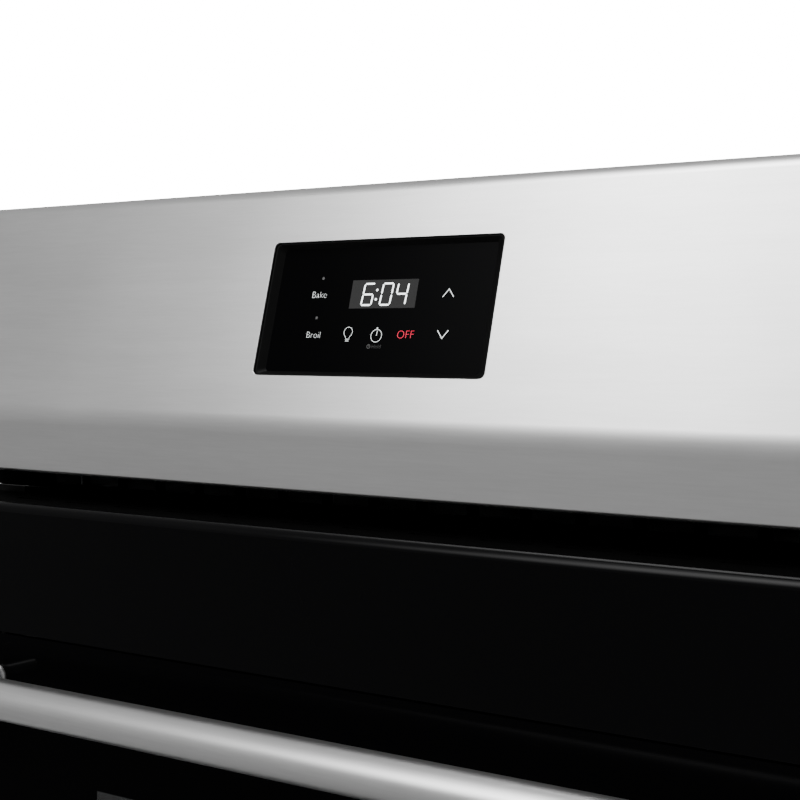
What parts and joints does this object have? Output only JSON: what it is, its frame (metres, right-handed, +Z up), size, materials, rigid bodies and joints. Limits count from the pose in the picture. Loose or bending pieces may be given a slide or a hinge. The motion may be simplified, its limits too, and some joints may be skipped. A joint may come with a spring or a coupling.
{
  "type": "wall oven",
  "caption": "Built-in electric wall oven with a leaning stainless control panel, a small touch display and a black glass door hinged at the bottom.",
  "frame": {"origin": "middle of the oven's base where it meets the cabinet's face plane, on the underside of the base", "axes": "+Z up, +Y from the cabinet's face into the cabinet, +X to the right as seen from the front"},
  "size_m": [0.606, 0.668, 0.7351],
  "materials": {
    "stainless": "brushed",
    "black_glass": "gloss",
    "clear_glass": "gloss",
    "black_trim": "gloss",
    "black_plastic": "satin",
    "black_painted_steel": "satin",
    "enamel": "gloss",
    "galvanised": "satin",
    "chrome_wire": "gloss",
    "heater_sheath": "matte",
    "zinc_steel": "satin",
    "spring_steel": "satin",
    "fibre": "matte",
    "seal_weave": "matte",
    "ceramic_white": "matte",
    "board": "satin",
    "motor_steel": "satin",
    "aluminium_sheet": "satin"
  },
  "bodies": {
    "oven": {"control_fascia": "stainless", "panel_end_caps": "black_plastic", "display_bezel": "black_plastic", "display_glass": "black_glass", "lcd_module": "black_plastic", "display_housing": "black_plastic", "control_board": "board", "board_parts": "black_plastic", "display_screws": "zinc_steel", "front_frame": "enamel", "side_trims": "black_painted_steel", "bottom_vent_trim": "black_painted_steel", "vent_grille": "black_painted_steel", "door_seal": "seal_weave", "hinge_arms": "zinc_steel", "hinge_pins": "zinc_steel", "hinge_receivers": "zinc_steel", "cavity_floor": "enamel", "cavity_roof": "enamel", "cavity_sides": "enamel", "cavity_back": "enamel", "insulation_blankets": "fibre", "rack_guides": "chrome_wire", "bake_element": "heater_sheath", "broil_element": "heater_sheath", "element_clips": "zinc_steel", "lamp_lens": "clear_glass", "lamp_bulb": "clear_glass", "lamp_socket": "ceramic_white", "temperature_probe": "zinc_steel", "case_sides": "galvanised", "case_back": "galvanised", "case_top": "galvanised", "base_pan": "galvanised", "front_bulkhead": "galvanised", "air_duct": "galvanised", "flue_tube": "galvanised", "blower_housing": "galvanised", "blower_motor": "motor_steel", "thermal_cutout": "ceramic_white", "junction_box": "galvanised", "door_switch": "black_plastic"},
    "door": {"door_glass": "black_glass", "door_top_trim": "black_trim", "door_side_channels": "black_painted_steel", "door_bottom_trim": "black_painted_steel", "door_inner_panel": "enamel", "window_panes": "clear_glass", "window_frame": "galvanised", "door_insulation": "fibre", "handle_bar": "stainless", "handle_posts": "stainless", "handle_screws": "zinc_steel", "liner_screws": "zinc_steel", "hinge_cases": "zinc_steel", "hinge_springs": "spring_steel"},
    "rack_lower": {"oven_rack_lower": "chrome_wire"},
    "rack_upper": {"oven_rack_upper": "chrome_wire"},
    "blower": {"blower_wheel": "aluminium_sheet"},
    "switch_button": {"switch_plunger": "black_plastic"}
  },
  "joints": [
    {"name": "door_hinge", "type": "hinge", "parent": "oven", "child": "door", "pos_m": [0, -0.021, 0.057], "axis": [1, 0, 0], "range_deg": [0, 90], "stiffness_Nm_per_rad": 9, "springref_deg": -25.78, "deforming": ["hinge_springs"]},
    {"name": "rack_lower_slide", "type": "slide", "parent": "oven", "child": "rack_lower", "axis": [0, -1, 0], "range_m": [0, 0.28]},
    {"name": "rack_upper_slide", "type": "slide", "parent": "oven", "child": "rack_upper", "axis": [0, -1, 0], "range_m": [0, 0.28]},
    {"name": "blower_spin", "type": "hinge", "parent": "oven", "child": "blower", "pos_m": [0, 0.332, 0.612], "axis": [1, 0, 0], "continuous": true},
    {"name": "switch_slide", "type": "slide", "parent": "oven", "child": "switch_button", "axis": [0, -1, 0], "range_m": [0, 0.005]}
  ],
  "couplings": [
    {"joint": "rack_lower_slide", "follows": "door_hinge", "m_per_rad": 0.1782},
    {"joint": "rack_upper_slide", "follows": "door_hinge", "m_per_rad": 0.1782},
    {"joint": "switch_slide", "follows": "door_hinge", "m_per_rad": 0.0031}
  ]
}
